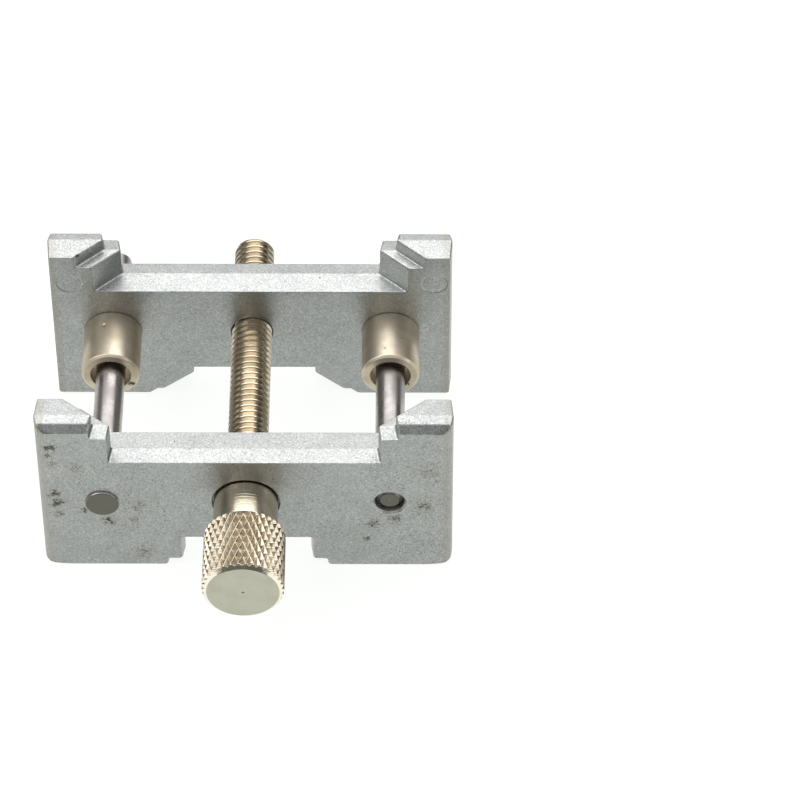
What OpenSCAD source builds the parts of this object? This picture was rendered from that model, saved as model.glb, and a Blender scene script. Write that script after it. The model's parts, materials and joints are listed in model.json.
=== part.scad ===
/* [Jaws] */
// Length of each jaw, end to end
jaw_length = 50; // [44:1:70]
// Height of each jaw
jaw_height = 25.2; // [21:0.2:32]
// Thickness of the half outside the parting line
outer_depth = 2; // [1.6:0.1:3]
// Thickness of the half inside the parting line
inner_depth = 2.9; // [2.4:0.1:4]
// Draft of the outer half, in degrees
outer_draft = 9; // [3:1:12]
// Draft of the inner half, in degrees
inner_draft = 5; // [2:1:8]
// Chamfer round the top and the ends of the outer face
edge_chamfer = 0.8; // [0.3:0.1:1.2]
// Opening between the jaws' inner faces
jaw_opening = 23.2; // [9:0.1:29]

/* [Seats] */
// Width of each ear on the wide side, at the parting line
ear_width = 6.9; // [5:0.1:9]
// Width of the ledge beside each ear
ledge_width = 2.1; // [1:0.1:3]
// Depth of the ledge below the ears
ledge_drop = 1.8; // [1:0.1:3]
// Depth of the wide channel below the ears
channel_drop = 6; // [4.5:0.1:8]
// Width of the narrow notch underneath, at the parting line
notch_width = 15.4; // [12:0.1:22]
// Width of the ledge beside the notch
notch_ledge_width = 1.8; // [1:0.1:3]
// Height of the ledge beside the notch above the foot
notch_ledge_rise = 0.8; // [0.5:0.1:2]
// Height of the notch above the foot
notch_rise = 4.8; // [4.2:0.1:6]
// Sideways flare of every seat wall across the inner half
wall_flare = 3.5; // [1:0.1:4]

/* [Guide rods and bushes] */
// Diameter of the guide rods
rod_diameter = 3.6; // [3:0.1:4.5]
// Length of the left guide rod
left_rod_length = 41; // [38:0.2:50]
// Length of the right guide rod
right_rod_length = 39.2; // [38:0.2:50]
// Distance from a jaw's end to the rod's axis
rod_inset = 7.65; // [6.5:0.05:9]
// How far the left rod stands proud of the front jaw
left_rod_proud = 0.35; // [0.15:0.05:0.5]
// How far the right rod lies inside the front jaw
right_rod_sunk = 0.45; // [0:0.05:0.8]
// Chamfer on the rod ends
rod_chamfer = 0.6; // [0.2:0.1:0.8]
// Countersink at the mouth of each rod hole in the front jaw
rod_countersink = 0.25; // [0.1:0.05:0.5]
// Wall of each bush round the rod
bush_wall = 1.8; // [1.4:0.1:2.2]
// Length of each bush outside the back jaw
bush_length = 7.4; // [5:0.1:8.5]
// Gap round the rod in the bush's mouth
bush_mouth_gap = 0.7; // [0.4:0.1:1]
// Depth of the bush's mouth
bush_mouth_depth = 1.4; // [0.5:0.1:3]
// Wall of the spigot that is pressed into the back jaw
spigot_wall = 0.9; // [0.6:0.1:1.2]
// Length of the spigot
spigot_length = 3.6; // [2:0.1:4]
// Running clearance round the rods, per side
guide_clearance = 0.04; // [0.02:0.01:0.08]

/* [Screw and knob] */
// Outside diameter of the thread
thread_diameter = 5; // [4:0.5:6]
// Pitch of the thread
thread_pitch = 0.9; // [0.7:0.05:1]
// Depth of the thread
thread_depth = 0.49; // [0.4:0.01:0.6]
// How far the screw stands out behind the back jaw
screw_overhang = 9.4; // [8:0.1:14]
// Running clearance round the screw, per side
screw_clearance = 0.05; // [0.02:0.01:0.08]
// End float of the screw in the front jaw, each way
end_float = 0.05; // [0.03:0.01:0.1]
// Diameter of the knurled knob
knob_diameter = 9.9; // [9:0.1:14]
// Length of the knurled knob
knob_length = 8.8; // [6:0.1:14]
// Radial width of the bevel on the knob's outer end
knob_bevel = 0.65; // [0.3:0.05:1]
// Length of that bevel along the knob
knob_bevel_length = 0.45; // [0.2:0.05:1]
// Diameter of the knob's collar
collar_diameter = 7.8; // [7.6:0.1:8.6]
// Length of the collar outside the front jaw
collar_length = 5.2; // [3:0.1:8]
// Depth of the collar's recess in the front jaw
recess_depth = 0.8; // [0.4:0.1:1.2]
// Gap round the collar in its recess
recess_gap = 0.2; // [0.1:0.05:0.6]
// Thickness of the retaining clip
clip_thickness = 0.6; // [0.4:0.1:0.8]
// Width of the retaining clip's rim
clip_rim = 1.7; // [1.4:0.1:2]

/* [Hidden] */
$fn = 96;

cast_color = [0.72, 0.74, 0.72];
steel_color = [0.60, 0.58, 0.60];
nickel_color = [0.78, 0.72, 0.60];

// overlap that lets a cutter pass cleanly through a face
pass = 1;

jaw_depth = outer_depth + inner_depth;
outer_inset = outer_depth * tan(outer_draft);
inner_inset = inner_depth * tan(inner_draft);
chamfer_start = outer_depth - edge_chamfer;
chamfer_inset = chamfer_start * tan(outer_draft);

// places along Y, with the whole holder centred on the origin
holder_length = knob_length + collar_length + 2 * jaw_depth + jaw_opening + screw_overhang;
knob_end = -holder_length / 2;
collar_start = knob_end + knob_length;
front_face = collar_start + collar_length;
front_inside = front_face + jaw_depth;
back_inside = front_inside + jaw_opening;
back_face = back_inside + jaw_depth;
screw_tip = back_face + screw_overhang;

channel_half = jaw_length / 2 - ear_width - ledge_width;
rod_x = jaw_length / 2 - rod_inset;
// the rods and the screw lie a little below the middle of the web
axis_sink = 0.4;
axis_z = (notch_rise + jaw_height - channel_drop) / 2 - axis_sink;

peen_bevel = 0.15;
spigot_diameter = rod_diameter + 2 * spigot_wall;
bush_diameter = rod_diameter + 2 * bush_wall;
bush_bevel = 0.3;

root_diameter = thread_diameter - 2 * thread_depth;
screw_bore = thread_diameter + 2 * screw_clearance;
bore_chamfer = 0.15;
groove_width = clip_thickness + 0.1;
shoulder_length = 0.6;
recess_floor = front_face + recess_depth;
collar_seat = recess_floor - end_float;
clip_start = front_inside + end_float;
thread_start = clip_start + groove_width + shoulder_length;
tip_chamfer = 0.6;
stem_length = 7;
clip_diameter = thread_diameter + 2 * clip_rim;

// turns a shape drawn along +Z so that it runs along +Y from start
module along_y(start, x = 0) {
    translate([x, start, axis_z]) rotate([-90, 0, 0]) children();
}

// block with a parting ridge: the outer half at -Y, the inner half at +Y
module jaw_blank() {
    half = jaw_length / 2;
    intersection() {
        rotate([90, 0, 90]) linear_extrude(jaw_length, center = true) polygon([
            [-outer_depth, 0],
            [0, 0],
            [inner_depth, inner_inset],
            [inner_depth, jaw_height - inner_inset],
            [0, jaw_height],
            [-chamfer_start, jaw_height - chamfer_inset],
            [-outer_depth, jaw_height - chamfer_inset - edge_chamfer]
        ]);
        linear_extrude(jaw_height) polygon([for (side = [-1, 1]) each side < 0
            ? [
                [-half + chamfer_inset + edge_chamfer, -outer_depth],
                [-half + chamfer_inset, -chamfer_start],
                [-half, 0],
                [-half + inner_inset, inner_depth]
            ]
            : [
                [half - inner_inset, inner_depth],
                [half, 0],
                [half - chamfer_inset, -chamfer_start],
                [half - chamfer_inset - edge_chamfer, -outer_depth]
            ]
        ]);
    }
}

// seat cut down from height z: straight walls outside the ridge, flared walls inside it
module seat_cut(half_width, z) {
    slope_out = tan(outer_draft);
    slope_in = tan(inner_draft);
    flare = wall_flare / inner_depth;
    y_out = outer_depth + pass;
    y_in = inner_depth + pass;
    wide_out = half_width + y_out * slope_out;
    wide_in = half_width + y_in * flare;
    intersection() {
        linear_extrude(jaw_height + pass) polygon([
            [-wide_out, -y_out],
            [-half_width, 0],
            [-wide_in, y_in],
            [wide_in, y_in],
            [half_width, 0],
            [wide_out, -y_out]
        ]);
        rotate([90, 0, 90]) linear_extrude(jaw_length, center = true) polygon([
            [-y_out, z - y_out * slope_out],
            [0, z],
            [y_in, z - y_in * slope_in],
            [y_in, jaw_height + pass],
            [-y_out, jaw_height + pass]
        ]);
    }
}

// the same cut made upwards from the foot
module foot_cut(half_width, z) {
    translate([0, 0, jaw_height]) mirror([0, 0, 1]) seat_cut(half_width, jaw_height - z);
}

// jaw without its bores, with the parting ridge at y = 0
module jaw_body() {
    difference() {
        jaw_blank();
        seat_cut(channel_half + ledge_width, jaw_height - ledge_drop);
        seat_cut(channel_half, jaw_height - channel_drop);
        foot_cut(notch_width / 2 + notch_ledge_width, notch_ledge_rise);
        foot_cut(notch_width / 2, notch_rise);
    }
}

module front_jaw() {
    color(cast_color) difference() {
        translate([0, front_face + outer_depth, 0]) jaw_body();
        for (side = [-1, 1]) {
            along_y(front_face - pass, side * rod_x)
                cylinder(d = rod_diameter, h = jaw_depth + 2 * pass);
            along_y(front_face, side * rod_x)
                cylinder(d1 = rod_diameter + 2 * rod_countersink, d2 = rod_diameter,
                    h = rod_countersink);
        }
        along_y(front_face - pass) cylinder(d = screw_bore, h = jaw_depth + 2 * pass);
        along_y(front_face - pass)
            cylinder(d = collar_diameter + 2 * recess_gap, h = recess_depth + pass);
    }
}

module back_jaw() {
    color(cast_color) difference() {
        translate([0, back_face - outer_depth, 0]) mirror([0, 1, 0]) jaw_body();
        for (side = [-1, 1]) {
            along_y(back_inside - pass, side * rod_x)
                cylinder(d = spigot_diameter, h = spigot_length + pass);
            along_y(back_inside, side * rod_x)
                cylinder(d = rod_diameter + 2 * bush_mouth_gap, h = jaw_depth + pass);
        }
        along_y(back_inside - pass) cylinder(d = screw_bore, h = jaw_depth + 2 * pass);
        along_y(back_inside)
            cylinder(d1 = screw_bore + 2 * bore_chamfer, d2 = screw_bore, h = bore_chamfer);
        along_y(back_face - bore_chamfer)
            cylinder(d1 = screw_bore, d2 = screw_bore + 2 * bore_chamfer, h = bore_chamfer);
    }
}

// rod from its front end, which the given points shape, to its chamfered tip
module guide_rod(start, x, length, front_end) {
    radius = rod_diameter / 2;
    color(steel_color) along_y(start, x) rotate_extrude() polygon([
        [0, 0],
        each front_end,
        [radius, length - rod_chamfer],
        [radius - rod_chamfer, length],
        [0, length]
    ]);
}

// the left rod's end is peened over, so that it fills the countersink
module guide_rod_left() {
    radius = rod_diameter / 2;
    head = radius + rod_countersink;
    guide_rod(front_face - left_rod_proud, -rod_x, left_rod_length, [
        [head - peen_bevel, 0],
        [head, peen_bevel],
        [head, left_rod_proud],
        [radius, left_rod_proud + rod_countersink]
    ]);
}

// the right rod's end lies inside its hole
module guide_rod_right() {
    radius = rod_diameter / 2;
    guide_rod(front_face + right_rod_sunk, rod_x, right_rod_length, [
        [radius - rod_chamfer, 0],
        [radius, rod_chamfer]
    ]);
}

// flanged bush with its mouth at -Y and its spigot inside the back jaw
module guide_bush(x) {
    bore = rod_diameter / 2 + guide_clearance;
    mouth = rod_diameter / 2 + bush_mouth_gap;
    outer = bush_diameter / 2;
    spigot = spigot_diameter / 2;
    color(nickel_color) along_y(back_inside - bush_length, x) rotate_extrude() polygon([
        [mouth, 0],
        [outer - bush_bevel, 0],
        [outer, bush_bevel],
        [outer, bush_length],
        [spigot, bush_length],
        [spigot, bush_length + spigot_length],
        [bore, bush_length + spigot_length],
        [bore, bush_mouth_depth],
        [mouth, bush_mouth_depth]
    ]);
}

module guide_bush_left() {
    guide_bush(-rod_x);
}

module guide_bush_right() {
    guide_bush(rod_x);
}

// stem in the knob, plain journal in the front jaw, clip groove, then the thread
module lead_screw() {
    major = thread_diameter / 2;
    root = root_diameter / 2;
    start = collar_seat - stem_length;
    seat = collar_seat - start;
    groove = clip_start - start;
    thread = thread_start - start;
    tip = screw_tip - start;
    turns = floor((tip - tip_chamfer - thread) / thread_pitch);
    color(nickel_color) along_y(start) rotate_extrude() polygon([
        [0, 0],
        [root, 0],
        [root, seat],
        [major, seat],
        [major, groove],
        [root, groove],
        [root, groove + groove_width],
        [major, groove + groove_width],
        [major, thread],
        for (turn = [0 : turns - 1]) each [
            [root, thread + (turn + 0.5) * thread_pitch],
            [major, thread + (turn + 1) * thread_pitch]
        ],
        [major, tip - tip_chamfer],
        [major - tip_chamfer, tip],
        [0, tip]
    ]);
}

// knurled head with its smooth collar, pressed on the screw's stem
module knob() {
    head = knob_diameter / 2;
    collar = collar_diameter / 2;
    head_start = collar_start - knob_end;
    seat = collar_seat - knob_end;
    shoulder_bevel = knob_bevel / 2;
    color(nickel_color) difference() {
        along_y(knob_end) rotate_extrude() polygon([
            [0, 0],
            [head - knob_bevel, 0],
            [head, knob_bevel_length],
            [head, head_start - shoulder_bevel],
            [head - shoulder_bevel, head_start],
            [collar, head_start],
            [collar, seat],
            [0, seat]
        ]);
        along_y(collar_seat - stem_length) cylinder(d = root_diameter, h = stem_length + pass);
    }
}

// open spring clip in the screw's groove, with its slot downwards
module retaining_clip() {
    lobe = clip_rim * 0.6;
    slot = root_diameter * 0.8;
    color(steel_color) along_y(clip_start) linear_extrude(clip_thickness) difference() {
        circle(d = clip_diameter);
        circle(d = root_diameter);
        for (side = [-1, 1]) rotate(side * 45)
            translate([0, -root_diameter / 2]) circle(r = lobe);
        translate([-slot / 2, 0]) square([slot, clip_diameter]);
    }
}

front_jaw();
back_jaw();
guide_rod_left();
guide_rod_right();
guide_bush_left();
guide_bush_right();
lead_screw();
knob();
retaining_clip();
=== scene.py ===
import json
from math import cos, pi, radians, sin, tan

import bmesh
import bpy
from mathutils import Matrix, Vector

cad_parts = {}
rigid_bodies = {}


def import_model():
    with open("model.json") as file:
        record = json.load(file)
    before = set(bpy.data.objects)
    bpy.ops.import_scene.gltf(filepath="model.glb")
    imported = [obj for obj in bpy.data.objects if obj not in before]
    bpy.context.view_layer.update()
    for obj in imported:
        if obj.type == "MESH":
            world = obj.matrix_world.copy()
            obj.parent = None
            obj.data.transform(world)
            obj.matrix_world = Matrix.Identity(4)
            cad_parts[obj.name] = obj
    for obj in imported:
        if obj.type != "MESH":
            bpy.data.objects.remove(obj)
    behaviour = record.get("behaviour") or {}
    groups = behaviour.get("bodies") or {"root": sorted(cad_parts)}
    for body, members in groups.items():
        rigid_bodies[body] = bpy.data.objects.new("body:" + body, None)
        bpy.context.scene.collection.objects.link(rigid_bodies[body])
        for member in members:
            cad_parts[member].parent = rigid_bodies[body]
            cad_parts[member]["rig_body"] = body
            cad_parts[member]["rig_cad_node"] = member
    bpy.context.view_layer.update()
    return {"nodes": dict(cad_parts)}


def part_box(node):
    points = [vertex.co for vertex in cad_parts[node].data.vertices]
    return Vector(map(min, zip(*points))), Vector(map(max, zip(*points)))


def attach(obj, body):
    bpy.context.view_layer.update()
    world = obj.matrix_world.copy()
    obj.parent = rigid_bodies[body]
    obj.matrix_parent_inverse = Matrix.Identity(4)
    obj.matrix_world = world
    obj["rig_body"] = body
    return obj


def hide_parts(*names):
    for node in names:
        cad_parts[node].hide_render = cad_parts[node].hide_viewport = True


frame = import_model()

# pieces are modelled in millimetres and brought to metres when they are finished
mm = 0.001
past = 0.5  # how far a cutter runs past the face that it starts from


def nodeBox(node):
    low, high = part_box(node)
    return low / mm, high / mm


frontLow, frontHigh = nodeBox("front_jaw")
backLow, backHigh = nodeBox("back_jaw")
bushLow, bushHigh = nodeBox("guide_bush_left")
screwLow, screwHigh = nodeBox("lead_screw")
knobLow, knobHigh = nodeBox("knob")

axisZ = (screwLow.z + screwHigh.z) / 2
rodX = -(bushLow.x + bushHigh.x) / 2
jawHeight = frontHigh.z
halfLength = frontHigh.x


def deselectAll():
    bpy.ops.object.select_all(action="DESELECT")


def makeActive(piece):
    deselectAll()
    piece.select_set(True)
    bpy.context.view_layer.objects.active = piece


def startEdit(piece, mode="VERT"):
    makeActive(piece)
    bpy.ops.object.mode_set(mode="EDIT")
    bpy.ops.mesh.select_mode(type=mode)
    bpy.ops.mesh.select_all(action="SELECT")


def endEdit():
    bpy.ops.object.mode_set(mode="OBJECT")


def pick(piece, kind, test):
    # selects only the verts, edges or faces that pass the test
    bpy.ops.mesh.select_mode(type=kind)
    bpy.ops.mesh.select_all(action="DESELECT")
    shape = bmesh.from_edit_mesh(piece.data)
    parts = {"VERT": shape.verts, "EDGE": shape.edges, "FACE": shape.faces}[kind]
    for part in parts:
        if test(part):
            part.select_set(True)
    shape.select_flush_mode()
    bmesh.update_edit_mesh(piece.data)


def faceOut():
    bpy.ops.mesh.select_all(action="SELECT")
    bpy.ops.mesh.normals_make_consistent(inside=False)


def applied(piece):
    makeActive(piece)
    bpy.ops.object.transform_apply(location=True, rotation=True, scale=True)
    return piece


def cut(piece, cutter, operation="DIFFERENCE"):
    modifier = piece.modifiers.new(name="cut", type="BOOLEAN")
    modifier.object = cutter
    modifier.operation = operation
    modifier.solver = "EXACT"
    makeActive(piece)
    bpy.ops.object.modifier_apply(modifier=modifier.name)
    bpy.data.objects.remove(cutter)


def finishPiece(piece, body, node, material, angle=35):
    # millimetres become metres, the faces are shaded smooth up to the angle, and the piece joins its body
    makeActive(piece)
    bpy.ops.object.shade_smooth_by_angle(angle=radians(angle))
    flatten = piece.modifiers.new(name="flatten", type="WEIGHTED_NORMAL")  # keeps the wide faces flat
    flatten.keep_sharp = True
    flatten.weight = 100
    bpy.ops.object.modifier_apply(modifier=flatten.name)
    bpy.ops.transform.resize(value=(mm, mm, mm), center_override=(0, 0, 0))
    applied(piece)
    piece.data.materials.clear()
    piece.data.materials.append(material)
    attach(piece, body)
    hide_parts(node)
    print("made", piece.name, len(piece.data.polygons), "faces")


def loft(name, sections):
    # a block drawn along Y through its sections, each of them (y, half width, lowest z, highest z)
    y, half, low, high = sections[0]
    bpy.ops.mesh.primitive_plane_add(size=1, location=(0, y, (low + high) / 2), rotation=(pi / 2, 0, 0))
    piece = bpy.context.object
    piece.name = name
    piece.scale = (2 * half, high - low, 1)
    applied(piece)
    startEdit(piece, "FACE")
    for nextY, nextHalf, nextLow, nextHigh in sections[1:]:
        rise = (nextLow + nextHigh - low - high) / 2
        bpy.ops.mesh.extrude_region_move(TRANSFORM_OT_translate={"value": (0, nextY - y, rise)})
        growth = (nextHalf / half, 1, (nextHigh - nextLow) / (high - low))
        bpy.ops.transform.resize(value=growth, center_override=(0, nextY, (nextLow + nextHigh) / 2))
        y, half, low, high = nextY, nextHalf, nextLow, nextHigh
    faceOut()
    endEdit()
    return piece


def turn(name, rings, x=0.0, segments=96, hollow=False):
    # a round shape about an axis along Y: each ring is (radius, y), and hollow joins the last to the first
    radius, y = rings[0]
    deselectAll()
    bpy.ops.mesh.primitive_circle_add(
        vertices=segments, radius=radius, location=(x, y, axisZ), rotation=(pi / 2, 0, 0))
    piece = bpy.context.object
    piece.name = name
    applied(piece)
    startEdit(piece, "EDGE")
    for nextRadius, nextY in rings[1:] + (rings[:1] if hollow else []):
        bpy.ops.mesh.extrude_region_move(TRANSFORM_OT_translate={"value": (0, nextY - y, 0)})
        growth = nextRadius / radius
        bpy.ops.transform.resize(value=(growth, 1, growth), center_override=(x, nextY, axisZ))
        radius, y = nextRadius, nextY
    bpy.ops.mesh.select_all(action="SELECT")
    if hollow:
        bpy.ops.mesh.remove_doubles(threshold=0.0005)
    else:
        bpy.ops.mesh.fill_holes(sides=0)
    faceOut()
    endEdit()
    return piece


def distanceFromAxis(point, x=0.0):
    return ((point.x - x) ** 2 + (point.z - axisZ) ** 2) ** 0.5


jaw = {
    "outerDepth": 2.0,  # from the outer face to the parting ridge
    "outerDraft": radians(9),
    "innerDraft": radians(5),
    "edgeChamfer": 0.8,
    "earWidth": 6.9,
    "ledgeWidth": 2.1,
    "ledgeDrop": 1.8,
    "channelDrop": 6.0,
    "notchWidth": 15.4,
    "notchLedgeWidth": 1.8,
    "notchLedgeRise": 0.8,
    "notchRise": 4.8,
    "wallFlare": 3.5,
    "topRound": 0.3,
    "footRound": 0.39,
    "endSteps": 5,
    "castRound": 0.11,
    "screwBore": 5.1,
    "boreEdge": 0.15,
    "ejectorMark": 3.3,
    "ejectorSink": 0.05,
    "ejectorPlaces": ((-22.4, 20.4), (22.8, 20.4)),
}


def jawBlank():
    # the parting ridge is at y 0 and the outer face looks along +Y; both jaws are copies of this casting
    depth = frontHigh.y - frontLow.y
    innerDepth = depth - jaw["outerDepth"]
    chamferAt = jaw["outerDepth"] - jaw["edgeChamfer"]
    innerInset = innerDepth * tan(jaw["innerDraft"])
    # the ends are rounded over a quarter circle, whose last step but one is at the foot of the tops' bevel
    stepAngle = pi / 2 / jaw["endSteps"]
    endRound = jaw["edgeChamfer"] / (1 - cos(pi / 2 - stepAngle))
    sections = []
    for step in range(jaw["endSteps"] + 1):
        y = jaw["outerDepth"] - endRound * (1 - cos(step * stepAngle))
        draft = y * tan(jaw["outerDraft"])
        overEnd = endRound * (1 - sin(step * stepAngle))
        overTop = max(0, y - chamferAt)
        sections.append((y, halfLength - draft - overEnd, 0, jawHeight - draft - overTop))
    sections.append((0, halfLength, 0, jawHeight))
    sections.append((-innerDepth, halfLength - innerInset, innerInset, jawHeight - innerInset))
    piece = loft("jawCasting", sections)
    for halfWidth, drop in ((halfLength - jaw["earWidth"], jaw["ledgeDrop"]),
                            (halfLength - jaw["earWidth"] - jaw["ledgeWidth"], jaw["channelDrop"])):
        cut(piece, seatCutter(halfWidth, jawHeight - drop, 1))
    for halfWidth, rise in ((jaw["notchWidth"] / 2 + jaw["notchLedgeWidth"], jaw["notchLedgeRise"]),
                            (jaw["notchWidth"] / 2, jaw["notchRise"])):
        cut(piece, seatCutter(halfWidth, rise, -1))
    roundCastEdges(piece)
    return piece


def placeJaw(blank, name, ridgeY, outward):
    # outward is -1 where the outer face looks towards the knob, and 1 on the other jaw
    makeActive(blank)
    bpy.ops.object.duplicate()
    piece = bpy.context.object
    piece.name = name
    if outward < 0:
        piece.rotation_euler.z = pi
    piece.location.y = ridgeY
    return applied(piece)


def seatCutter(halfWidth, z, up):
    # straight walls outside the ridge, walls that flare inside it; up is -1 for a cut from the foot
    innerDepth = frontHigh.y - frontLow.y - jaw["outerDepth"]
    spare = 1.0
    outerReach = jaw["outerDepth"] + spare
    innerReach = innerDepth + spare
    far = jawHeight + spare if up > 0 else -spare
    sections = []
    for y, width, floor in (
            (outerReach, halfWidth + outerReach * tan(jaw["outerDraft"]),
             z - up * outerReach * tan(jaw["outerDraft"])),
            (0, halfWidth, z),
            (-innerReach, halfWidth + innerReach * jaw["wallFlare"] / innerDepth,
             z - up * innerReach * tan(jaw["innerDraft"]))):
        sections.append((y, width, min(floor, far), max(floor, far)))
    return loft("seatCutter", sections)


def roundCastEdges(piece):
    # corners that run from face to face first, then every edge that runs along the parting plane
    def crossing(edge):
        span = edge.verts[1].co - edge.verts[0].co
        return abs(span.y) > 0.05 and len(edge.link_faces) == 2 and edge.calc_face_angle() > radians(15)

    def height(edge):
        return (edge.verts[0].co.z + edge.verts[1].co.z) / 2

    def along(edge):
        span = edge.verts[1].co - edge.verts[0].co
        return abs(span.y) < 0.01 and len(edge.link_faces) == 2 and edge.calc_face_angle() > radians(6)

    def atEnd(edge):
        middle = (edge.verts[0].co + edge.verts[1].co) / 2
        return abs(middle.x) > halfLength - 1.5 and middle.y > 0.1

    startEdit(piece)
    bpy.ops.mesh.remove_doubles(threshold=0.001)
    bpy.ops.mesh.dissolve_limited(angle_limit=radians(0.3))
    pick(piece, "EDGE", lambda edge: crossing(edge) and height(edge) > jawHeight / 2)
    bpy.ops.mesh.bevel(offset=jaw["topRound"], segments=3, affect="EDGES", clamp_overlap=True)
    pick(piece, "EDGE", lambda edge: crossing(edge) and height(edge) < jawHeight / 2)
    bpy.ops.mesh.bevel(offset=jaw["footRound"], segments=4, affect="EDGES", clamp_overlap=True)
    pick(piece, "EDGE", lambda edge: along(edge) and not atEnd(edge))
    bpy.ops.mesh.bevel(offset=jaw["castRound"], segments=2, affect="EDGES", clamp_overlap=False)
    pick(piece, "VERT", lambda vert: vert.co.z < 0)
    bpy.ops.transform.resize(value=(1, 1, 0), center_override=(0, 0, 0))  # the feet stand flat
    faceOut()
    endEdit()


def bore(piece, x, rings):
    cut(piece, turn("borer", rings, x))


def ejectorMarks(piece, faceY, inward):
    # shallow round prints that the mould's ejector pins leave on the inner face
    radius, sink = jaw["ejectorMark"] / 2, jaw["ejectorSink"]
    for x, z in jaw["ejectorPlaces"]:
        rings = [(radius + 2 * past, faceY - inward * past), (radius - 2 * sink, faceY + inward * sink)]
        pin = turn("pin", rings, x)
        makeActive(pin)
        bpy.ops.transform.translate(value=(0, 0, z - axisZ))
        applied(pin)
        cut(piece, pin)


rod = {
    "diameter": 3.6,
    "chamfer": 0.6,
    "countersink": 0.25,
    "proud": 0.35,
    "rim": 0.2,  # rounding of the peened head
}

collar = {"diameter": 7.8, "recess": 0.8, "gap": 0.2, "recessEdge": 0.08, "stem": 2.01}


def buildFrontJaw(blank, material):
    piece = placeJaw(blank, "frontJawCasting", frontLow.y + jaw["outerDepth"], -1)
    front, inside = frontLow.y, frontHigh.y
    radius = rod["diameter"] / 2
    for side in (-1, 1):
        bore(piece, side * rodX, [(radius + rod["countersink"] + past, front - past),
                                  (radius, front + rod["countersink"]), (radius, inside + past)])
    screwRadius, edge = jaw["screwBore"] / 2, jaw["boreEdge"]
    recessRadius, recessEdge = collar["diameter"] / 2 + collar["gap"], collar["recessEdge"]
    bore(piece, 0, [(recessRadius + recessEdge + past, front - past), (recessRadius, front + recessEdge),
                    (recessRadius, front + collar["recess"]), (screwRadius, front + collar["recess"]),
                    (screwRadius, inside - edge), (screwRadius + edge + past, inside + past)])
    ejectorMarks(piece, inside, -1)
    finishPiece(piece, "fixed_jaw", "front_jaw", material, 25)


bush = {
    "diameter": 7.2,
    "bevel": 0.3,
    "mouthGap": 0.7,
    "mouthDepth": 1.4,
    "clearance": 0.04,
    "spigotWall": 0.9,
    "spigotLength": 3.6,
    "holeEdge": 0.1,
}


def buildBackJaw(blank, material):
    piece = placeJaw(blank, "backJawCasting", backHigh.y - jaw["outerDepth"], 1)
    inside, back = backLow.y, backHigh.y
    spigot = rod["diameter"] / 2 + bush["spigotWall"]
    clear = rod["diameter"] / 2 + bush["mouthGap"]
    holeEdge = bush["holeEdge"]
    for side in (-1, 1):
        bore(piece, side * rodX, [(spigot, inside - past), (spigot, inside + bush["spigotLength"]),
                                  (clear, inside + bush["spigotLength"]), (clear, back - holeEdge),
                                  (clear + holeEdge + past, back + past)])
    screwRadius, edge = jaw["screwBore"] / 2, jaw["boreEdge"]
    bore(piece, 0, [(screwRadius + edge + past, inside - past), (screwRadius, inside + edge),
                    (screwRadius, back - edge), (screwRadius + edge + past, back + past)])
    ejectorMarks(piece, inside, 1)
    finishPiece(piece, "moving_jaw", "back_jaw", material, 25)


def roundTurnedEdges(piece, size, test):
    startEdit(piece)
    pick(piece, "EDGE", lambda edge: len(edge.link_faces) == 2
         and abs(edge.verts[0].co.y - edge.verts[1].co.y) < 0.0005
         and edge.calc_face_angle() > radians(12) and test(edge.verts[0].co))
    bpy.ops.mesh.bevel(offset=size, segments=2, affect="EDGES", clamp_overlap=True)
    endEdit()


def buildRods():
    for name, side, node in (("peenedRod", -1, "guide_rod_left"), ("sunkenRod", 1, "guide_rod_right")):
        low, high = nodeBox(node)
        radius = rod["diameter"] / 2
        head = radius + rod["countersink"]
        start = low.y
        if side < 0:
            # a peened head with shallow rings and a rounded rim
            rings = [(0.1, start + 0.05), (0.3, start + 0.045), (0.42, start + 0.02),
                     (0.95, start + 0.045), (1.1, start + 0.02), (head - rod["rim"] - 0.1, start)]
            for step in range(5):
                lean = step * pi / 8
                rings.append((head - rod["rim"] * (1 - sin(lean)), start + rod["rim"] * (1 - cos(lean))))
            rings += [(head, start + rod["proud"]), (radius, start + rod["proud"] + rod["countersink"])]
        else:
            rings = [(0.1, start + 0.06), (0.22, start + 0.01), (radius - rod["chamfer"] - 0.06, start),
                     (radius - rod["chamfer"], start + 0.03),
                     (radius - 0.03, start + rod["chamfer"] - 0.05), (radius, start + rod["chamfer"])]
        rings += [(radius, high.y - rod["chamfer"]), (radius - rod["chamfer"], high.y)]
        piece = turn(name, rings, side * rodX, 96)
        roundTurnedEdges(piece, 0.05, lambda co: co.y > high.y - 1)
        material = makeRodSteel(name + "Steel", (start + 0.055) * mm)
        finishPiece(piece, "fixed_jaw", node, material, 25)


def buildBushes(material):
    mouth = rod["diameter"] / 2 + bush["mouthGap"]
    hole = rod["diameter"] / 2 + bush["clearance"]
    outer = bush["diameter"] / 2
    spigot = rod["diameter"] / 2 + bush["spigotWall"]
    front, seat, end = bushLow.y, bushHigh.y - bush["spigotLength"], bushHigh.y
    for name, side, node in (("leftBush", -1, "guide_bush_left"), ("rightBush", 1, "guide_bush_right")):
        piece = turn(name, [
            (mouth, front + bush["mouthDepth"]), (mouth, front + 0.06), (mouth + 0.06, front),
            (outer - bush["bevel"], front), (outer, front + bush["bevel"]), (outer, seat - 0.1),
            (outer - 0.1, seat), (spigot, seat), (spigot, end), (hole, end),
            (hole, front + bush["mouthDepth"])], side * rodX, 128, hollow=True)

        def onFrontRim(co):
            return co.y < front + 0.5 and distanceFromAxis(co, side * rodX) > outer - 0.5

        roundTurnedEdges(piece, 0.07, onFrontRim)
        if side < 0:
            dentBush(piece, side * rodX)
        finishPiece(piece, "moving_jaw", node, material, 30)


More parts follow.
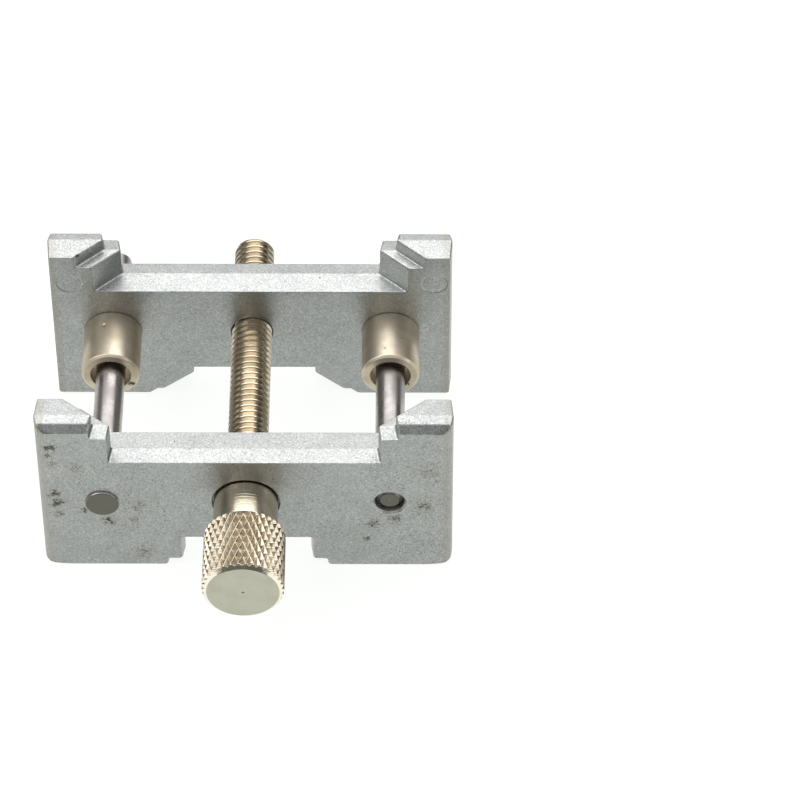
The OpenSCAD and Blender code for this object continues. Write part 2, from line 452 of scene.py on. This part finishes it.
def dentBush(piece, x):
    # a small knock on the upper side of the left bush, beside its middle
    bpy.ops.mesh.primitive_uv_sphere_add(segments=24, ring_count=12, radius=0.42)
    knock = bpy.context.object
    reach = bush["diameter"] / 2 + 0.34
    lean = radians(14)
    knock.location = (x - reach * sin(lean), bushLow.y + 5.3, axisZ + reach * cos(lean))
    knock.scale = (1.0, 1.3, 1.0)
    applied(knock)
    cut(piece, knock)


thread = {
    "pitch": 0.9,
    "depth": 0.49,
    "rootFlat": 0.18,
    "crestFlat": 0.2,
    "tipChamfer": 0.6,
    "clipGroove": 0.7,
    "shoulder": 0.6,
}


def grooveCutter(start, end):
    # the groove's section, swept as a right-handed helix round the axis and then set on it
    major = (screwHigh.x - screwLow.x) / 2
    root = major - thread["depth"]
    spare = 0.06
    widening = (thread["pitch"] - thread["crestFlat"] - thread["rootFlat"]) / thread["depth"]
    wide = thread["rootFlat"] + widening * (thread["depth"] + spare)
    bpy.ops.mesh.primitive_plane_add(size=1, location=((root + major + spare) / 2, 0, 0))
    cutter = bpy.context.object
    cutter.scale = (thread["depth"] + spare, wide, 1)
    applied(cutter)
    startEdit(cutter)
    pick(cutter, "VERT", lambda vert: vert.co.x < major - thread["depth"] / 2)
    bpy.ops.transform.resize(value=(1, thread["rootFlat"] / wide, 1), center_override=(root, 0, 0))
    bpy.ops.mesh.select_all(action="SELECT")
    bpy.ops.mesh.delete(type="ONLY_FACE")
    endEdit()
    sweep = cutter.modifiers.new(name="sweep", type="SCREW")
    sweep.axis = "Y"
    sweep.angle = 2 * pi
    sweep.screw_offset = thread["pitch"]
    sweep.iterations = int((end - start) / thread["pitch"])
    sweep.steps = 48
    sweep.render_steps = 48
    sweep.use_merge_vertices = False
    makeActive(cutter)
    bpy.ops.object.modifier_apply(modifier=sweep.name)
    startEdit(cutter)
    bpy.ops.mesh.fill_holes(sides=0)
    faceOut()
    bpy.ops.transform.translate(value=(0, start, axisZ))
    endEdit()
    return cutter


def buildScrew(material):
    major = (screwHigh.x - screwLow.x) / 2
    root = major - thread["depth"]
    seat, tip = knobHigh.y, screwHigh.y
    grooveAt = frontHigh.y + 0.05
    threadAt = grooveAt + thread["clipGroove"] + thread["shoulder"]
    chamfer = thread["tipChamfer"]
    piece = turn("leadScrew", [
        (root, screwLow.y), (root, seat), (major, seat), (major, grooveAt), (root, grooveAt),
        (root, grooveAt + thread["clipGroove"]), (major, grooveAt + thread["clipGroove"]),
        (major, tip - chamfer), (major - 0.12, tip - chamfer + 0.18), (major - 0.33, tip - 0.2),
        (major - chamfer, tip), (0.9, tip), (0.3, tip)], 0, 96)
    cut(piece, grooveCutter(threadAt, tip + 2 * thread["pitch"]))
    finishPiece(piece, "screw", "lead_screw", material, 20)


knurl = {
    "diamonds": 34,
    "rowPitch": 1.08,
    "depth": 0.48,
    "ridge": 0.06,
    "length": 8.8,
    "endBevel": 0.65,
    "endBevelLength": 0.45,
}


def knurledTube(start, end, crest):
    # a grid of rings: alternate points are raised and joined corner to corner, which leaves a net of
    # crossing ridges with a sunken diamond in each mesh
    rows = round((end - start) / knurl["rowPitch"])
    columns = 2 * knurl["diamonds"]
    step = (end - start) / rows
    valley = crest - knurl["depth"]
    tube = turn("knurlTube", [(valley, start + row * step) for row in range(rows + 1)], 0, columns)
    column = 2 * pi / columns

    def raised(vert):
        offset = vert.co - Vector((0, start, axisZ))
        turned = Vector((0, 1)).angle_signed(Vector((offset.x, offset.z)))
        return (round(turned / column) + round(offset.y / step)) % 2 == 0

    startEdit(tube)
    pick(tube, "VERT", raised)
    growth = crest / valley
    bpy.ops.transform.resize(value=(growth, 1, growth), center_override=(0, start, axisZ))
    pick(tube, "FACE", lambda face: len(face.verts) == 4)
    bpy.ops.mesh.quads_convert_to_tris(quad_method="LONGEST_DIAGONAL")
    pick(tube, "EDGE", lambda edge: len(edge.link_faces) == 2 and all(raised(vert) for vert in edge.verts))
    bpy.ops.mesh.bevel(offset=knurl["ridge"], affect="EDGES", segments=2, clamp_overlap=True)
    faceOut()
    endEdit()
    return tube


def buildKnob(material):
    radius = (knobHigh.x - knobLow.x) / 2
    start, shoulder, seat = knobLow.y, knobLow.y + knurl["length"], knobHigh.y
    bevel, bevelLength = knurl["endBevel"], knurl["endBevelLength"]
    collarRadius = collar["diameter"] / 2
    stem = collar["stem"]
    piece = turn("knurledKnob", [
        (0.05, start + 0.045), (0.13, start + 0.02), (radius - bevel - 0.2, start + 0.02),
        (radius - bevel, start), (radius - 0.03, start + bevelLength - 0.02),
        (radius, start + bevelLength + 0.05), (radius, shoulder - bevel / 2),
        (radius - bevel / 2, shoulder), (collarRadius - 0.5, shoulder)], 0, 160)
    cut(piece, knurledTube(start - 0.46, shoulder + 0.46, radius), "INTERSECT")
    neck = turn("neck", [
        (collarRadius - 1.0, shoulder - 0.5), (collarRadius, shoulder - 0.4), (collarRadius, seat - 0.12),
        (collarRadius - 0.12, seat), (stem, seat)], 0, 128)
    cut(piece, neck, "UNION")
    cut(piece, turn("stemBore", [(stem, screwLow.y), (stem, seat + 1)], 0, 96))
    finishPiece(piece, "screw", "knob", material, 22)


def buildClip(material):
    makeActive(frame["nodes"]["retaining_clip"])
    bpy.ops.object.duplicate()
    piece = bpy.context.object
    piece.name = "springClip"
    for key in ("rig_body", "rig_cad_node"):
        del piece[key]
    piece.parent = None
    startEdit(piece)
    bpy.ops.transform.resize(value=(1 / mm, 1 / mm, 1 / mm), center_override=(0, 0, 0))
    bpy.ops.mesh.remove_doubles(threshold=0.001)
    bpy.ops.mesh.dissolve_limited(angle_limit=radians(1))
    pick(piece, "EDGE", lambda edge: edge.is_manifold and edge.calc_face_angle() > radians(60))
    bpy.ops.mesh.bevel(offset=0.06, segments=2, affect="EDGES", clamp_overlap=True)
    endEdit()
    finishPiece(piece, "screw", "retaining_clip", material, 30)


def newGroup(name, inputs, outputs):
    group = bpy.data.node_groups.new(name, "ShaderNodeTree")
    for label, kind, value in inputs:
        socket = group.interface.new_socket(name=label, in_out="INPUT", socket_type="NodeSocket" + kind)
        if value is not None:
            socket.default_value = value
    for label in outputs:
        group.interface.new_socket(name=label, in_out="OUTPUT", socket_type="NodeSocketFloat")
    return group, addNode(group, "NodeGroupInput").outputs, addNode(group, "NodeGroupOutput").inputs


def addNode(tree, kind, **settings):
    node = tree.nodes.new(kind)
    for setting, value in settings.items():
        setattr(node, setting, value)
    return node


def wire(tree, source, target):
    tree.links.new(source, target)


def feed(tree, socket, value):
    # a socket takes either a link or a plain value
    if isinstance(value, bpy.types.NodeSocket):
        wire(tree, value, socket)
    else:
        socket.default_value = value


def calc(tree, operation, first, second=0.5, third=0.0):
    node = addNode(tree, "ShaderNodeMath", operation=operation)
    feed(tree, node.inputs[0], first)
    feed(tree, node.inputs[1], second)
    feed(tree, node.inputs[2], third)
    return node.outputs[0]


def remap(tree, value, low, high, toLow=0.0, toHigh=1.0):
    node = addNode(tree, "ShaderNodeMapRange", interpolation_type="SMOOTHSTEP")
    for socket, amount in zip(node.inputs, (value, low, high, toLow, toHigh)):
        feed(tree, socket, amount)
    return node.outputs[0]


def noise(tree, vector, scale, detail=2.0, roughness=0.5):
    node = addNode(tree, "ShaderNodeTexNoise")
    feed(tree, node.inputs["Vector"], vector)
    feed(tree, node.inputs["Scale"], scale)
    node.inputs["Detail"].default_value = detail
    node.inputs["Roughness"].default_value = roughness
    return node.outputs["Fac"]


def mixColors(tree, mask, first, second, blend="MIX"):
    node = addNode(tree, "ShaderNodeMix", data_type="RGBA", blend_type=blend)
    feed(tree, node.inputs["Factor"], mask)
    feed(tree, node.inputs["A"], first)
    feed(tree, node.inputs["B"], second)
    return node.outputs["Result"]


def makeCastGrain():
    # fine cast skin: a speckle of light and dark crystals, and a softer unevenness under it
    group, given, made = newGroup(
        "castGrain", [("Vector", "Vector", None), ("Grain", "Float", 9500.0), ("Waves", "Float", 260.0)],
        ["Speckle", "Cloud", "Height"])
    fine = noise(group, given["Vector"], given["Grain"], 2.0, 0.6)
    coarse = noise(group, given["Vector"], calc(group, "MULTIPLY", given["Grain"], 0.42), 1.0, 0.5)
    both = calc(group, "MULTIPLY_ADD", coarse, 0.3, calc(group, "MULTIPLY", fine, 0.7))
    cloud = noise(group, given["Vector"], given["Waves"], 3.0, 0.55)
    wire(group, remap(group, both, 0.36, 0.64), made["Speckle"])
    wire(group, remap(group, cloud, 0.3, 0.7), made["Cloud"])
    wire(group, calc(group, "MULTIPLY_ADD", cloud, 0.5, both), made["Height"])
    return group


def makeDarkSpecks():
    # scattered round specks and pits, thicker where the patchy noise is high
    group, given, made = newGroup(
        "darkSpecks", [("Vector", "Vector", None), ("Scale", "Float", 1800.0), ("Size", "Float", 0.25),
                       ("Amount", "Float", 0.5), ("Patches", "Float", 120.0)], ["Mask"])
    cells = addNode(group, "ShaderNodeTexVoronoi")
    wire(group, given["Vector"], cells.inputs["Vector"])
    wire(group, given["Scale"], cells.inputs["Scale"])
    tone = addNode(group, "ShaderNodeSeparateColor")
    wire(group, cells.outputs["Color"], tone.inputs["Color"])
    patch = remap(group, noise(group, given["Vector"], given["Patches"], 2.0), 0.35, 0.75)
    share = calc(group, "MULTIPLY", patch, given["Amount"])
    chosen = calc(group, "LESS_THAN", tone.outputs["Red"], share)
    size = calc(group, "MULTIPLY", given["Size"], calc(group, "ADD", tone.outputs["Green"], 0.35))
    dot = remap(group, cells.outputs["Distance"], size, calc(group, "MULTIPLY", size, 0.45))
    wire(group, calc(group, "MULTIPLY", dot, chosen), made["Mask"])
    return group


def makeGrime():
    # crumbs of dirt round one place, close together at its centre and few at its rim
    group, given, made = newGroup(
        "grime", [("Vector", "Vector", None), ("Centre", "Vector", None), ("Radius", "Float", 0.003),
                  ("Crumbs", "Float", 7000.0), ("Amount", "Float", 0.5)], ["Mask", "Film"])
    reach = addNode(group, "ShaderNodeVectorMath", operation="DISTANCE")
    wire(group, given["Vector"], reach.inputs[0])
    wire(group, given["Centre"], reach.inputs[1])
    near = calc(group, "DIVIDE", reach.outputs["Value"], given["Radius"])
    rag = noise(group, given["Vector"], given["Crumbs"], 3.0, 0.7)
    drift = noise(group, given["Vector"], calc(group, "MULTIPLY", given["Crumbs"], 0.25), 2.0, 0.6)
    near = calc(group, "ADD", near, calc(group, "MULTIPLY_ADD", drift, 1.8, -0.9))
    cover = calc(group, "MULTIPLY", remap(group, near, 1.0, 0.0), given["Amount"])
    bar = calc(group, "SUBTRACT", 0.70, calc(group, "MULTIPLY", cover, 0.34))
    wire(group, remap(group, rag, bar, calc(group, "ADD", bar, 0.13)), made["Mask"])
    wire(group, cover, made["Film"])
    return group


def makeTurnedLines():
    # fine lines that a lathe tool leaves: they vary along one value only, a length or a radius
    group, given, made = newGroup(
        "turnedLines", [("Place", "Float", 0.0), ("Scale", "Float", 9000.0)], ["Height", "Tone"])
    lines = []
    for share in (1.0, 0.27):
        node = addNode(group, "ShaderNodeTexNoise", noise_dimensions="1D")
        wire(group, calc(group, "MULTIPLY", given["Place"], share), node.inputs["W"])
        wire(group, given["Scale"], node.inputs["Scale"])
        node.inputs["Detail"].default_value = 2.0
        lines.append(node.outputs["Fac"])
    both = calc(group, "MULTIPLY_ADD", lines[0], 0.6, calc(group, "MULTIPLY", lines[1], 0.4))
    wire(group, both, made["Height"])
    wire(group, remap(group, both, 0.35, 0.65), made["Tone"])
    return group


def makeEdgeWear():
    # bright where an edge turns sharply, broken up by a noise
    group, given, made = newGroup(
        "edgeWear", [("Vector", "Vector", None), ("Width", "Float", 0.0002), ("Breaks", "Float", 900.0)],
        ["Mask"])
    soft = addNode(group, "ShaderNodeBevel", samples=4)
    wire(group, given["Width"], soft.inputs["Radius"])
    surface = addNode(group, "ShaderNodeNewGeometry")
    match = addNode(group, "ShaderNodeVectorMath", operation="DOT_PRODUCT")
    wire(group, soft.outputs["Normal"], match.inputs[0])
    wire(group, surface.outputs["Normal"], match.inputs[1])
    turned = remap(group, match.outputs["Value"], 0.995, 0.9)
    broken = remap(group, noise(group, given["Vector"], given["Breaks"], 3.0), 0.3, 0.6)
    wire(group, calc(group, "MULTIPLY", turned, broken), made["Mask"])
    return group


effects = {}


def makeEffects():
    for make in (makeCastGrain, makeDarkSpecks, makeGrime, makeTurnedLines, makeEdgeWear):
        group = make()
        effects[group.name] = group
    print("shader groups:", ", ".join(effects))


def useEffect(tree, name, **values):
    node = addNode(tree, "ShaderNodeGroup", node_tree=effects[name])
    for label, value in values.items():
        feed(tree, node.inputs[label], value)
    return node.outputs


def specksMask(tree, place, scale, size, amount, patches):
    specks = useEffect(
        tree, "darkSpecks", Vector=place, Scale=scale, Size=size, Amount=amount, Patches=patches)
    return specks["Mask"]


def startMaterial(name):
    material = bpy.data.materials.new(name)
    material.use_nodes = True
    tree = material.node_tree
    shader = tree.nodes["Principled BSDF"]
    place = addNode(tree, "ShaderNodeTexCoord").outputs["Object"]
    return material, tree, shader, place


def bumpNormal(tree, shader, height, distance):
    node = addNode(tree, "ShaderNodeBump")
    wire(tree, height, node.inputs["Height"])
    node.inputs["Distance"].default_value = distance
    node.inputs["Strength"].default_value = 1.0
    wire(tree, node.outputs["Normal"], shader.inputs["Normal"])


castFinish = {
    "metal": (0.395, 0.406, 0.395, 1),
    "dark": (0.28, 0.29, 0.28, 1),
    "bright": (0.62, 0.63, 0.625, 1),
    "speck": (0.07, 0.07, 0.06, 1),
    "stain": (0.045, 0.038, 0.026, 1),
    "film": (0.25, 0.225, 0.17, 1),
    "wear": (0.70, 0.71, 0.70, 1),
    "roughness": (0.31, 0.43),
    "bump": 0.000022,
    "tarnish": (0.0135, 0.0235),  # between these places along X the skin turns darker and more pitted
}


def makeCastMetal(name, stains, tarnish):
    # stains are (centre in metres, radius, amount) of the crumbs of dirt
    material, tree, shader, place = startMaterial(name)
    split = addNode(tree, "ShaderNodeSeparateXYZ")
    wire(tree, place, split.inputs["Vector"])
    grain = useEffect(tree, "castGrain", Vector=place)
    color = mixColors(tree, grain["Speckle"], castFinish["dark"], castFinish["metal"])
    glint = remap(tree, grain["Speckle"], 0.8, 1.0, 0.0, 0.5)
    color = mixColors(tree, glint, color, castFinish["bright"])
    cloud = remap(tree, grain["Cloud"], 0.0, 1.0, 0.95, 1.03)
    shade = addNode(tree, "ShaderNodeCombineColor")
    for channel in ("Red", "Green", "Blue"):
        wire(tree, cloud, shade.inputs[channel])
    color = mixColors(tree, 1.0, color, shade.outputs["Color"], "MULTIPLY")
    wear = useEffect(tree, "edgeWear", Vector=place)["Mask"]
    color = mixColors(tree, calc(tree, "MULTIPLY", wear, 0.5), color, castFinish["wear"])
    tarnishFrom, tarnishTo = castFinish["tarnish"]
    side = remap(tree, split.outputs["X"], tarnishFrom, tarnishTo)
    amount = calc(tree, "MULTIPLY_ADD", side, tarnish, 0.4)
    fine = specksMask(tree, place, 3600.0, 0.45, amount, 110.0)
    pits = specksMask(tree, place, 1300.0, 0.14, 0.16, 70.0)
    color = mixColors(tree, calc(tree, "MULTIPLY", fine, 0.4), color, castFinish["speck"])
    color = mixColors(tree, calc(tree, "MULTIPLY", pits, 0.75), color, castFinish["speck"])
    # the bevel along the tops of the ears is coarser than the rest
    above = remap(tree, split.outputs["Z"], (jawHeight - 1.2) * mm, (jawHeight - 1.0) * mm)
    ahead = remap(tree, split.outputs["Y"], (frontLow.y + 1.3) * mm, (frontLow.y + 1.15) * mm)
    coarse = specksMask(tree, place, 4600.0, 0.7, 1.3, 400.0)
    coarse = calc(tree, "MULTIPLY", calc(tree, "MULTIPLY", above, ahead), coarse)
    color = mixColors(tree, calc(tree, "MULTIPLY", coarse, 0.42), color, castFinish["speck"])
    outward = calc(tree, "ABSOLUTE", split.outputs["X"])
    ends = remap(tree, outward, (halfLength - 1.5) * mm, (halfLength - 0.8) * mm)
    color = mixColors(tree, calc(tree, "MULTIPLY", ends, 0.3), color, castFinish["film"])
    dirt = pits
    film = None
    for centre, radius, amount in stains:
        here = useEffect(tree, "grime", Vector=place, Centre=centre, Radius=radius, Amount=amount)
        dirt = calc(tree, "MAXIMUM", dirt, here["Mask"])
        film = here["Film"] if film is None else calc(tree, "MAXIMUM", film, here["Film"])
    if stains:
        color = mixColors(tree, calc(tree, "MULTIPLY", film, 0.4), color, castFinish["film"])
        color = mixColors(tree, calc(tree, "MULTIPLY", dirt, 0.85), color, castFinish["stain"])
    wire(tree, color, shader.inputs["Base Color"])
    low, high = castFinish["roughness"]
    rough = remap(tree, grain["Speckle"], 0.0, 1.0, high, low)
    wire(tree, calc(tree, "MULTIPLY_ADD", dirt, 0.3, rough), shader.inputs["Roughness"])
    shader.inputs["Metallic"].default_value = 1.0
    sunken = calc(tree, "SUBTRACT", grain["Height"], calc(tree, "MULTIPLY", pits, 0.8))
    bumpNormal(tree, shader, sunken, castFinish["bump"])
    return material


nickelFinish = {
    "metal": (0.61, 0.54, 0.43, 1),
    "worn": (0.46, 0.40, 0.30, 1),
    "speck": (0.05, 0.04, 0.03, 1),
    "face": (0.42, 0.41, 0.335, 1),
    "faceLight": (0.46, 0.45, 0.37, 1),
    # painted highlight: a lighter base for the knob's end bevel, standing in for the bright floor it
    # reflects
    "paintedBevelHighlight": (0.86, 0.81, 0.68, 1),
}


def makeNickelPlate(name, roughness, lineScale, lineBump, stains, faced=None):
    # faced holds two places along Y: up to the first an end face is dull, and up to the second the end
    # bevel gets a painted highlight, a lighter base standing in for the floor's reflection
    material, tree, shader, place = startMaterial(name)
    split = addNode(tree, "ShaderNodeSeparateXYZ")
    wire(tree, place, split.inputs["Vector"])
    lines = useEffect(tree, "turnedLines", Place=split.outputs["Y"], Scale=lineScale)
    haze = useEffect(tree, "castGrain", Vector=place, Grain=2400.0, Waves=350.0)
    color = mixColors(tree, haze["Cloud"], nickelFinish["worn"], nickelFinish["metal"])
    color = mixColors(tree, calc(tree, "MULTIPLY", lines["Tone"], 0.3), color, nickelFinish["worn"])
    low, high = roughness
    rough = remap(tree, haze["Cloud"], 0.0, 1.0, high, low)
    if faced:
        # painted highlight on the end bevel: lighter base colour in place of the floor's reflection
        ring = remap(tree, split.outputs["Y"], faced[1] + 0.00004, faced[1] - 0.00004)
        color = mixColors(tree, ring, color, nickelFinish["paintedBevelHighlight"])
        end = remap(tree, split.outputs["Y"], faced[0], faced[0] - 0.00001)
        dull = mixColors(tree, haze["Cloud"], nickelFinish["face"], nickelFinish["faceLight"])
        color = mixColors(tree, end, color, dull)
        rough = calc(tree, "MULTIPLY_ADD", end, 0.12, rough)
    specks = specksMask(tree, place, 1500.0, 0.16, 0.12, 200.0)
    color = mixColors(tree, calc(tree, "MULTIPLY", specks, 0.7), color, nickelFinish["speck"])
    dirt = specks
    for centre, radius, amount in stains:
        here = useEffect(
            tree, "grime", Vector=place, Centre=centre, Radius=radius, Crumbs=3000.0, Amount=amount)
        dirt = calc(tree, "MAXIMUM", dirt, here["Mask"])
    if stains:
        color = mixColors(tree, calc(tree, "MULTIPLY", dirt, 0.85), color, nickelFinish["speck"])
    wire(tree, color, shader.inputs["Base Color"])
    wire(tree, calc(tree, "MULTIPLY_ADD", dirt, 0.3, rough), shader.inputs["Roughness"])
    shader.inputs["Metallic"].default_value = 1.0
    bumpNormal(tree, shader, lines["Height"], lineBump)
    return material


steelFinish = {
    "metal": (0.43, 0.405, 0.39, 1),
    "dark": (0.28, 0.26, 0.25, 1),
    "end": (0.125, 0.12, 0.10, 1),
    "roughness": (0.24, 0.36),
}


def makeRodSteel(name, endAt):
    # endAt is the place along Y in front of which the end face is dull
    material, tree, shader, place = startMaterial(name)
    split = addNode(tree, "ShaderNodeSeparateXYZ")
    wire(tree, place, split.inputs["Vector"])
    lines = useEffect(tree, "turnedLines", Place=split.outputs["Y"], Scale=14000.0)
    haze = useEffect(tree, "castGrain", Vector=place, Grain=3000.0, Waves=300.0)
    color = mixColors(tree, haze["Cloud"], steelFinish["dark"], steelFinish["metal"])
    color = mixColors(tree, calc(tree, "MULTIPLY", lines["Tone"], 0.35), color, steelFinish["dark"])
    ends = remap(tree, split.outputs["Y"], endAt + 0.00001, endAt)
    color = mixColors(tree, ends, color, steelFinish["end"])
    wire(tree, color, shader.inputs["Base Color"])
    low, high = steelFinish["roughness"]
    wire(tree, remap(tree, haze["Cloud"], 0.0, 1.0, high, low), shader.inputs["Roughness"])
    shader.inputs["Metallic"].default_value = 1.0
    bumpNormal(tree, shader, lines["Height"], 0.000006)
    return material


springFinish = {
    "metal": (0.16, 0.16, 0.17, 1),
    "dark": (0.07, 0.07, 0.075, 1),
    "wear": (0.4, 0.4, 0.41, 1),
    "roughness": (0.3, 0.4),
}


def makeSpringSteel(name):
    material, tree, shader, place = startMaterial(name)
    haze = useEffect(tree, "castGrain", Vector=place, Grain=4000.0, Waves=500.0)
    color = mixColors(tree, haze["Cloud"], springFinish["dark"], springFinish["metal"])
    wear = useEffect(tree, "edgeWear", Vector=place, Width=0.0001)["Mask"]
    color = mixColors(tree, wear, color, springFinish["wear"])
    wire(tree, color, shader.inputs["Base Color"])
    low, high = springFinish["roughness"]
    wire(tree, remap(tree, haze["Speckle"], 0.0, 1.0, high, low), shader.inputs["Roughness"])
    shader.inputs["Metallic"].default_value = 1.0
    bumpNormal(tree, shader, haze["Height"], 0.00001)
    return material


view = {
    "target": (18.55, 2.30, 11.85),
    "distance": 528.5,
    "elevation": radians(48.135),
    "yaw": radians(0.167),
    "lens": 192.9,
}


def setCamera():
    target = Vector(view["target"]) * mm
    lift, swing = view["elevation"], view["yaw"]
    away = Vector((sin(swing) * cos(lift), -cos(swing) * cos(lift), sin(lift)))
    bpy.ops.object.camera_add(location=target + away * view["distance"] * mm)
    camera = bpy.context.object
    camera.rotation_euler = away.to_track_quat("Z", "Y").to_euler()
    camera.data.lens = view["lens"]
    camera.data.sensor_width = 36
    camera.data.clip_start = 0.01
    bpy.context.scene.camera = camera


def softbox(name, place, size, radiance):
    # it looks at the holder, and its power follows from its radiance, whatever its size
    bpy.ops.object.light_add(type="AREA", location=place)
    lamp = bpy.context.object
    lamp.name = name
    lamp.data.shape = "RECTANGLE"
    lamp.data.size, lamp.data.size_y = size
    lamp.data.energy = radiance * pi * size[0] * size[1]
    lamp.rotation_euler = Vector(place).to_track_quat("Z", "Y").to_euler()


def setStage():
    bpy.ops.mesh.primitive_plane_add(size=4, location=(0, 0, -0.00005))
    floor = bpy.context.object
    floor.name = "floor"
    material, _, shader, _ = startMaterial("paleSheet")
    shader.inputs["Base Color"].default_value = (0.16, 0.16, 0.16, 1)
    shader.inputs["Roughness"].default_value = 0.9
    shader.inputs["Specular IOR Level"].default_value = 0.0
    shader.inputs["Emission Color"].default_value = (0.975, 1, 0.97, 1)
    shader.inputs["Emission Strength"].default_value = 0.9
    floor.data.materials.append(material)
    softbox("overheadNear", (0, 0.244, 0.548), (0.75, 0.40), 2.12)
    softbox("overheadFar", (0, 0.503, 0.327), (0.75, 0.28), 1.42)
    softbox("leftHigh", (-0.42, -0.13, 0.42), (0.4, 0.4), 3.0)
    softbox("leftFill", (-0.55, 0.0, 0.18), (0.5, 0.25), 1.1)
    softbox("rightFill", (0.5, -0.3, 0.16), (0.25, 0.25), 2.3)
    world = bpy.data.worlds.new("paleRoom")
    world.use_nodes = True
    tree = world.node_tree
    height = addNode(tree, "ShaderNodeSeparateXYZ")
    wire(tree, addNode(tree, "ShaderNodeTexCoord").outputs["Generated"], height.inputs["Vector"])
    room = tree.nodes["Background"]
    room.inputs["Color"].default_value = (0.98, 0.98, 1.0, 1)
    seen = addNode(tree, "ShaderNodeLightPath").outputs["Is Camera Ray"]
    glow = remap(tree, height.outputs["Z"], 0.40, 0.70, 0.12, 1.0)
    wire(tree, calc(tree, "MAXIMUM", glow, seen), room.inputs["Strength"])
    bpy.context.scene.world = world
    bpy.context.scene.view_settings.view_transform = "Standard"


def dirtAt(x, y, z, radius, amount):
    # a place and a radius in millimetres
    return ((x * mm, y * mm, z * mm), radius * mm, amount)


def onFrontFace(x, z, radius, amount):
    return dirtAt(x, frontLow.y, z, radius, amount)


setCamera()
makeEffects()

# dirt gathers round the rods' ends, along the left edge and under the right rod
frontDirt = [
    onFrontFace(-23.2, 21.6, 1.3, 1.0), onFrontFace(-23.3, 20.2, 1.1, 0.8),
    onFrontFace(-23.0, 18.6, 1.3, 0.7), onFrontFace(-22.9, 13.2, 1.5, 0.95),
    onFrontFace(-22.8, 11.6, 1.6, 1.0), onFrontFace(-22.7, 9.6, 1.5, 0.75),
    onFrontFace(-19.5, 10.1, 1.2, 0.95), onFrontFace(-16.6, 8.4, 1.7, 0.9),
    onFrontFace(-13.2, 10.8, 2.4, 0.6), onFrontFace(-20.2, 18.0, 1.9, 0.65),
    onFrontFace(-12.6, 2.4, 2.3, 0.7), onFrontFace(-13.6, 8.6, 1.6, 0.65),
    onFrontFace(18.0, 8.7, 1.6, 0.95), onFrontFace(15.4, 7.8, 1.8, 0.8),
    onFrontFace(21.5, 11.0, 2.6, 0.75), onFrontFace(22.0, 17.0, 3.0, 0.6),
    onFrontFace(14.6, 5.0, 0.8, 0.9),
]
backDirt = [dirtAt(-21.1, 14.2, 24.8, 0.6, 1.0), dirtAt(-8.0, backLow.y, 3.0, 1.6, 0.7)]
bushDirt = [dirtAt(side * rodX + 2.4, bushLow.y, axisZ - 1.4, 1.1, 1.0) for side in (-1, 1)]
knobDirt = [dirtAt(0, knobLow.y, axisZ, 0.25, 1.7)]
knobEnds = (knobLow.y * mm + 0.00005, (knobLow.y + knurl["endBevelLength"]) * mm)
blank = jawBlank()
buildFrontJaw(blank, makeCastMetal("castZincFront", frontDirt, 1.3))
buildBackJaw(blank, makeCastMetal("castZincBack", backDirt, 0.1))
bpy.data.objects.remove(blank)
buildRods()
buildBushes(makeNickelPlate("nickelBush", (0.36, 0.44), 5000.0, 0.000008, bushDirt))
buildScrew(makeNickelPlate("nickelThread", (0.14, 0.24), 9000.0, 0.000003, []))
buildKnob(makeNickelPlate("nickelKnob", (0.10, 0.17), 9000.0, 0.00003, knobDirt, knobEnds))
buildClip(makeSpringSteel("springSteel"))
setStage()
